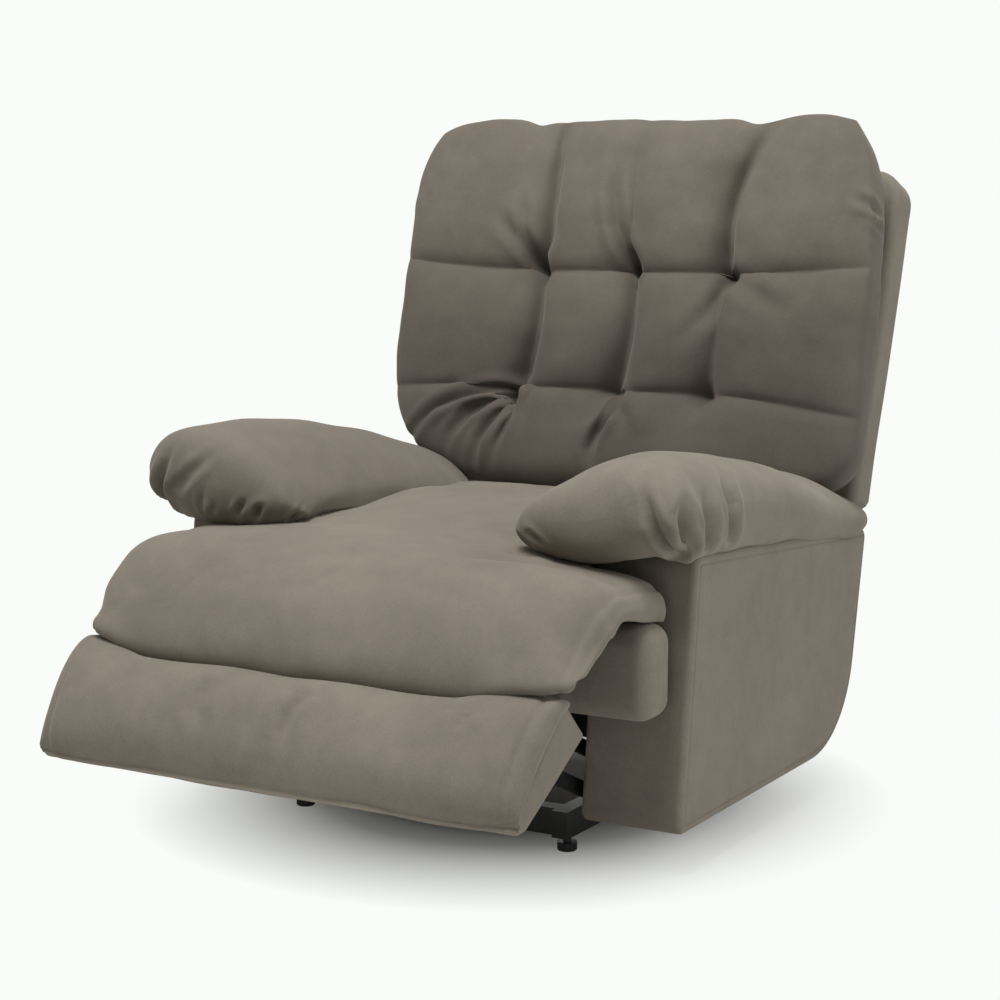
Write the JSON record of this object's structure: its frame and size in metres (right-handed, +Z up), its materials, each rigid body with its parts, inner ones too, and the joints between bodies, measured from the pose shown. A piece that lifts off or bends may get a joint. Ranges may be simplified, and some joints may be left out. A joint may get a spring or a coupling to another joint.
{
  "type": "glider recliner",
  "caption": "Upholstered glider recliner with pillow arms, a tufted back that reclines and a chaise footrest raised by a side handle, on a swing-link glide base.",
  "frame": {"origin": "on the floor under the middle of the chair's bounding box, footrest partly raised and back upright", "axes": "+Z up, -Y the way the sitter faces, +X the sitter's left"},
  "size_m": [0.92, 1.3416, 1.0676],
  "materials": {
    "upholstery": "matte mottled suede-like cloth",
    "black_steel": "satin black",
    "zinc_steel": "dull zinc",
    "hardwood": "planed, unfinished",
    "black_plastic": "matte"
  },
  "bodies": {
    "base": {"base_front_crossbar": "black_steel", "base_rear_crossbar": "black_steel", "base_side_rail_left": "black_steel", "base_side_rail_right": "black_steel", "foot_front_left": "black_plastic", "foot_front_right": "black_plastic", "foot_rear_left": "black_plastic", "foot_rear_right": "black_plastic", "glide_post_front_left": "black_steel", "glide_post_front_right": "black_steel", "glide_post_rear_left": "black_steel", "glide_post_rear_right": "black_steel"},
    "carriage": {"arm_front_board_left": "upholstery", "arm_front_board_right": "upholstery", "arm_inner_panel_left": "upholstery", "arm_inner_panel_right": "upholstery", "arm_outer_panel_left": "upholstery", "arm_outer_panel_right": "upholstery", "arm_pillow_left": "upholstery", "arm_pillow_right": "upholstery", "arm_rear_board_left": "upholstery", "arm_rear_board_right": "upholstery", "arm_top_board_left": "hardwood", "arm_top_board_right": "hardwood", "chaise_front": "upholstery", "front_cross_tube": "black_steel", "front_rail": "upholstery", "rear_cross_tube": "black_steel", "seat_cushion": "upholstery", "seat_rear_rail": "hardwood", "seat_side_rail_left": "hardwood", "seat_side_rail_right": "hardwood", "seat_spring_1": "zinc_steel", "seat_spring_2": "zinc_steel", "seat_spring_3": "zinc_steel", "side_plate_left": "black_steel", "side_plate_right": "black_steel"},
    "back": {"back_bracket_left": "black_steel", "back_bracket_right": "black_steel", "back_cushion": "upholstery", "back_panel": "upholstery"},
    "drive_shaft": {"drive_shaft": "zinc_steel", "rear_link_left": "zinc_steel", "rear_link_right": "zinc_steel", "release_handle": "black_plastic"},
    "footrest": {"footrest_board": "upholstery", "footrest_bracket_left": "zinc_steel", "footrest_bracket_right": "zinc_steel", "footrest_pad": "upholstery", "knee_pad": "upholstery"},
    "front_link_left": {"front_link_left": "zinc_steel"},
    "front_link_right": {"front_link_right": "zinc_steel"},
    "glide_link_front_left": {"glide_link_front_left": "zinc_steel"},
    "glide_link_front_right": {"glide_link_front_right": "zinc_steel"},
    "glide_link_rear_left": {"glide_link_rear_left": "zinc_steel"},
    "glide_link_rear_right": {"glide_link_rear_right": "zinc_steel"},
    "long_link_left": {"long_link_left": "zinc_steel"},
    "long_link_right": {"long_link_right": "zinc_steel"},
    "top_link_left": {"top_link_left": "zinc_steel"},
    "top_link_right": {"top_link_right": "zinc_steel"}
  },
  "joints": [
    {"name": "glide", "type": "hinge", "parent": "base", "child": "glide_link_front_left", "pos_m": [0.2467, -0.0188, 0.2], "axis": [-1, 0, 0], "range_deg": [-25, 25]},
    {"name": "glide_swing_front_right", "type": "hinge", "parent": "base", "child": "glide_link_front_right", "pos_m": [-0.2467, -0.0188, 0.2], "axis": [-1, 0, 0], "range_deg": [-25, 25]},
    {"name": "glide_swing_rear_left", "type": "hinge", "parent": "base", "child": "glide_link_rear_left", "pos_m": [0.2467, 0.2612, 0.2], "axis": [-1, 0, 0], "range_deg": [-25, 25]},
    {"name": "glide_swing_rear_right", "type": "hinge", "parent": "base", "child": "glide_link_rear_right", "pos_m": [-0.2467, 0.2612, 0.2], "axis": [-1, 0, 0], "range_deg": [-25, 25]},
    {"name": "carriage_level", "type": "hinge", "parent": "glide_link_front_left", "child": "carriage", "pos_m": [0.2467, -0.0188, 0.09], "axis": [-1, 0, 0], "range_deg": [-25, 25]},
    {"name": "back_recline", "type": "hinge", "parent": "carriage", "child": "back", "pos_m": [0, 0.3462, 0.37], "axis": [-1, 0, 0], "range_deg": [0, 32]},
    {"name": "footrest_raise", "type": "hinge", "parent": "carriage", "child": "footrest", "pos_m": [0, -0.4253, 0.36], "axis": [-1, 0, 0], "range_deg": [-46, 44]},
    {"name": "drive_turn", "type": "hinge", "parent": "carriage", "child": "drive_shaft", "pos_m": [0, -0.1388, 0.23], "axis": [-1, 0, 0], "range_deg": [-46, 44]},
    {"name": "front_link_swing_left", "type": "hinge", "parent": "carriage", "child": "front_link_left", "pos_m": [0.2702, -0.1888, 0.25], "axis": [-1, 0, 0], "range_deg": [-46, 44]},
    {"name": "long_link_level_left", "type": "hinge", "parent": "front_link_left", "child": "long_link_left", "pos_m": [0.2702, -0.2256, 0.08657], "axis": [-1, 0, 0], "range_deg": [-44, 46]},
    {"name": "top_link_level_left", "type": "hinge", "parent": "front_link_left", "child": "top_link_left", "pos_m": [0.2702, -0.21272, 0.14377], "axis": [-1, 0, 0], "range_deg": [-44, 46]},
    {"name": "front_link_swing_right", "type": "hinge", "parent": "carriage", "child": "front_link_right", "pos_m": [-0.2702, -0.1888, 0.25], "axis": [-1, 0, 0], "range_deg": [-46, 44]},
    {"name": "long_link_level_right", "type": "hinge", "parent": "front_link_right", "child": "long_link_right", "pos_m": [-0.2702, -0.2256, 0.08657], "axis": [-1, 0, 0], "range_deg": [-44, 46]},
    {"name": "top_link_level_right", "type": "hinge", "parent": "front_link_right", "child": "top_link_right", "pos_m": [-0.2702, -0.21272, 0.14377], "axis": [-1, 0, 0], "range_deg": [-44, 46]}
  ],
  "couplings": [
    {"joint": "glide_swing_front_right", "follows": "glide", "ratio": 1},
    {"joint": "glide_swing_rear_left", "follows": "glide", "ratio": 1},
    {"joint": "glide_swing_rear_right", "follows": "glide", "ratio": 1},
    {"joint": "carriage_level", "follows": "glide", "ratio": -1},
    {"joint": "drive_turn", "follows": "footrest_raise", "ratio": 1},
    {"joint": "front_link_swing_left", "follows": "footrest_raise", "ratio": 1},
    {"joint": "long_link_level_left", "follows": "footrest_raise", "ratio": -1},
    {"joint": "top_link_level_left", "follows": "footrest_raise", "ratio": -1},
    {"joint": "front_link_swing_right", "follows": "footrest_raise", "ratio": 1},
    {"joint": "long_link_level_right", "follows": "footrest_raise", "ratio": -1},
    {"joint": "top_link_level_right", "follows": "footrest_raise", "ratio": -1}
  ]
}
